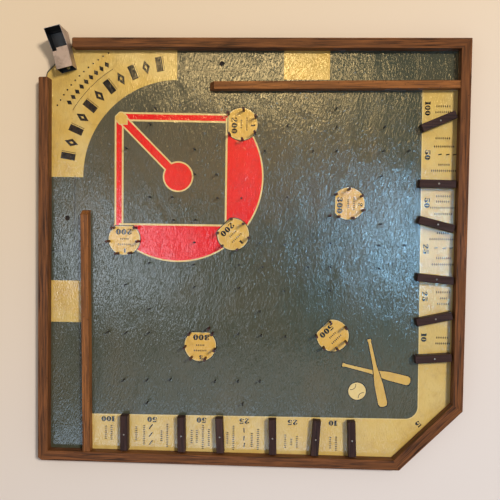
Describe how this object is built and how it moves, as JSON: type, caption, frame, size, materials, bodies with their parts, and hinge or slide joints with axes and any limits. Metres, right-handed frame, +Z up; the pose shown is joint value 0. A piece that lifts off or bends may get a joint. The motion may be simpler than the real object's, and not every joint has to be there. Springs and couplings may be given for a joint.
{
  "type": "bagatelle board game",
  "caption": "Square bagatelle board with a nailed wood rail frame, lane strips, nail-ringed pockets, swivelling scoring dividers and a swivelling folded-metal ball chute.",
  "frame": {"origin": "centre of the square board's underside, which rests on the table", "axes": "+Z up out of the playfield; +X towards the right rail with its column of dividers; +Y towards the top rail"},
  "size_m": [0.6096, 0.6208, 0.0386],
  "materials": {
    "playfield": "printed and varnished board, glossy and rippled",
    "rail_wood": "walnut-stained, satin varnish",
    "strip_wood": "orange-brown stain, satin varnish",
    "divider_wood": "dark stain, satin varnish",
    "brad_steel": "dull",
    "bright_nail": "bright",
    "dark_nail": "darkened with age",
    "pin_paint": "dark maroon enamel",
    "washer_fibre": "pressed fibre",
    "rivet_brass": "dull brass",
    "chute_metal": "plated sheet, dulled",
    "chute_black": "black enamel"
  },
  "bodies": {
    "board": {"playfield_board": "playfield", "top_rail": "rail_wood", "right_rail": "rail_wood", "corner_rail": "rail_wood", "bottom_rail": "rail_wood", "left_rail": "rail_wood", "top_lane_strip": "strip_wood", "left_lane_strip": "strip_wood", "rail_brads": "brad_steel", "strip_brads": "brad_steel", "divider_nails": "bright_nail", "field_nails": "dark_nail", "pocket_pins_1": "pin_paint", "pocket_pins_2": "pin_paint", "pocket_pins_3": "pin_paint", "pocket_pins_4": "pin_paint", "pocket_pins_5": "pin_paint", "pocket_pins_6": "pin_paint", "chute_washer": "washer_fibre", "chute_rivet": "rivet_brass"},
    "chute": {"chute_shell": "chute_metal", "chute_ramp": "chute_black"},
    "divider_right_1_block": {"divider_right_1": "divider_wood"},
    "divider_right_2_block": {"divider_right_2": "divider_wood"},
    "divider_right_3_block": {"divider_right_3": "divider_wood"},
    "divider_right_4_block": {"divider_right_4": "divider_wood"},
    "divider_right_5_block": {"divider_right_5": "divider_wood"},
    "divider_right_6_block": {"divider_right_6": "divider_wood"},
    "divider_bottom_1_block": {"divider_bottom_1": "divider_wood"},
    "divider_bottom_2_block": {"divider_bottom_2": "divider_wood"},
    "divider_bottom_3_block": {"divider_bottom_3": "divider_wood"},
    "divider_bottom_4_block": {"divider_bottom_4": "divider_wood"},
    "divider_bottom_5_block": {"divider_bottom_5": "divider_wood"},
    "divider_bottom_6_block": {"divider_bottom_6": "divider_wood"}
  },
  "joints": [
    {"name": "chute_swivel", "type": "hinge", "parent": "board", "child": "chute", "pos_m": [-0.26574, 0.26574, 0.0037], "axis": [0, 0, 1], "range_deg": [-8, 82]},
    {"name": "divider_right_1_swivel", "type": "hinge", "parent": "board", "child": "divider_right_1_block", "pos_m": [0.2642, 0.19117, 0.0032], "axis": [0, 0, 1], "range_deg": [-167.9, 122.1]},
    {"name": "divider_right_2_swivel", "type": "hinge", "parent": "board", "child": "divider_right_2_block", "pos_m": [0.2642, 0.10333, 0.0032], "axis": [0, 0, 1], "range_deg": [-144.2, 145.8]},
    {"name": "divider_right_3_swivel", "type": "hinge", "parent": "board", "child": "divider_right_3_block", "pos_m": [0.2642, 0.04615, 0.0032], "axis": [0, 0, 1], "range_deg": [-131, 159]},
    {"name": "divider_right_4_swivel", "type": "hinge", "parent": "board", "child": "divider_right_4_block", "pos_m": [0.2642, -0.03109, 0.0032], "axis": [0, 0, 1], "range_deg": [-139.9, 150.1]},
    {"name": "divider_right_5_swivel", "type": "hinge", "parent": "board", "child": "divider_right_5_block", "pos_m": [0.2642, -0.08736, 0.0032], "axis": [0, 0, 1], "range_deg": [-157.5, 132.5]},
    {"name": "divider_right_6_swivel", "type": "hinge", "parent": "board", "child": "divider_right_6_block", "pos_m": [0.2642, -0.14374, 0.0032], "axis": [0, 0, 1], "range_deg": [-149.5, 140.5]},
    {"name": "divider_bottom_1_swivel", "type": "hinge", "parent": "board", "child": "divider_bottom_1_block", "pos_m": [-0.17874, -0.2642, 0.0032], "axis": [0, 0, 1], "range_deg": [-145.4, 144.6]},
    {"name": "divider_bottom_2_swivel", "type": "hinge", "parent": "board", "child": "divider_bottom_2_block", "pos_m": [-0.09522, -0.2642, 0.0032], "axis": [0, 0, 1], "range_deg": [-146.3, 143.7]},
    {"name": "divider_bottom_3_swivel", "type": "hinge", "parent": "board", "child": "divider_bottom_3_block", "pos_m": [-0.03956, -0.2642, 0.0032], "axis": [0, 0, 1], "range_deg": [-148, 142]},
    {"name": "divider_bottom_4_swivel", "type": "hinge", "parent": "board", "child": "divider_bottom_4_block", "pos_m": [0.03676, -0.2642, 0.0032], "axis": [0, 0, 1], "range_deg": [-146.3, 143.7]},
    {"name": "divider_bottom_5_swivel", "type": "hinge", "parent": "board", "child": "divider_bottom_5_block", "pos_m": [0.09863, -0.2642, 0.0032], "axis": [0, 0, 1], "range_deg": [-141.6, 148.4]},
    {"name": "divider_bottom_6_swivel", "type": "hinge", "parent": "board", "child": "divider_bottom_6_block", "pos_m": [0.15033, -0.2642, 0.0032], "axis": [0, 0, 1], "range_deg": [-147.5, 142.5]}
  ]
}
